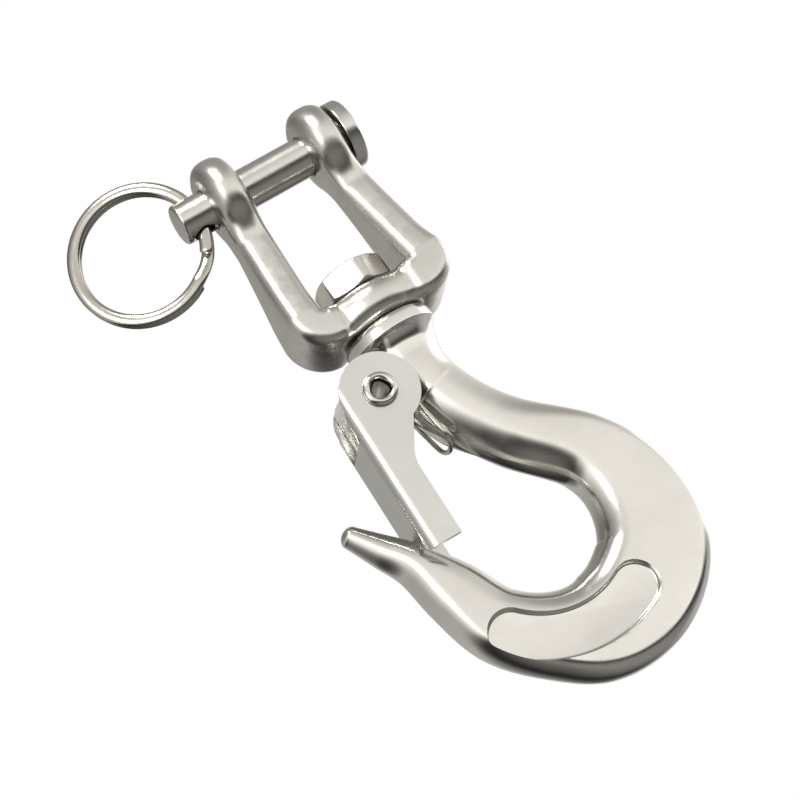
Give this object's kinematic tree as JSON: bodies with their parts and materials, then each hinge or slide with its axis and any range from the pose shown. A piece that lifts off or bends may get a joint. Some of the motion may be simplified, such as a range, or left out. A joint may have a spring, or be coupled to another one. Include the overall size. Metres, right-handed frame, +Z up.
{
  "type": "swivel hook",
  "caption": "Stainless swivel hook: clevis jaw with pin and split ring, hex-nut swivel and a sprung safety latch across the throat.",
  "frame": {"origin": "middle of the clevis pin, which is what holds the hook up", "axes": "+X along the clevis pin towards its head, +Z up along the load line, -Y towards the hook's panelled face"},
  "size_m": [0.072, 0.0192, 0.1295],
  "materials": {
    "jaw_steel": "cast stainless steel, tumbled and polished to a soft satin",
    "pin_steel": "turned stainless steel, satin",
    "ring_wire": "drawn stainless spring wire, bright",
    "hook_steel": "forged stainless steel, polished",
    "nut_steel": "machined stainless steel, tumbled satin",
    "latch_sheet": "pressed stainless sheet, matt satin",
    "rivet_steel": "drawn stainless tube, rolled and bright",
    "spring_wire": "drawn stainless spring wire, bright"
  },
  "bodies": {
    "jaw": {"jaw_fork": "jaw_steel"},
    "pin": {"clevis_pin": "pin_steel"},
    "ring": {"split_ring": "ring_wire"},
    "hook": {"hook": "hook_steel", "swivel_nut": "nut_steel", "latch_rivet": "rivet_steel", "latch_spring": "spring_wire"},
    "latch": {"safety_latch": "latch_sheet"}
  },
  "joints": [
    {"name": "pin_turn", "type": "hinge", "parent": "jaw", "child": "pin", "pos_m": [0, 0, 0], "axis": [1, 0, 0], "continuous": true},
    {"name": "ring_swing", "type": "hinge", "parent": "pin", "child": "ring", "pos_m": [-0.0173, 0, 0], "axis": [0, 0, 1], "range_deg": [-68, 102]},
    {"name": "hook_swivel", "type": "hinge", "parent": "jaw", "child": "hook", "pos_m": [0, 0, -0.0341], "axis": [0, 0, 1], "continuous": true},
    {"name": "latch_open", "type": "hinge", "parent": "hook", "child": "latch", "pos_m": [-0.0098, 0, -0.0498], "axis": [0, -1, 0], "range_deg": [0, 42], "stiffness_Nm_per_rad": 0.03, "springref_deg": -68.75, "deforming": ["latch_spring"]}
  ]
}
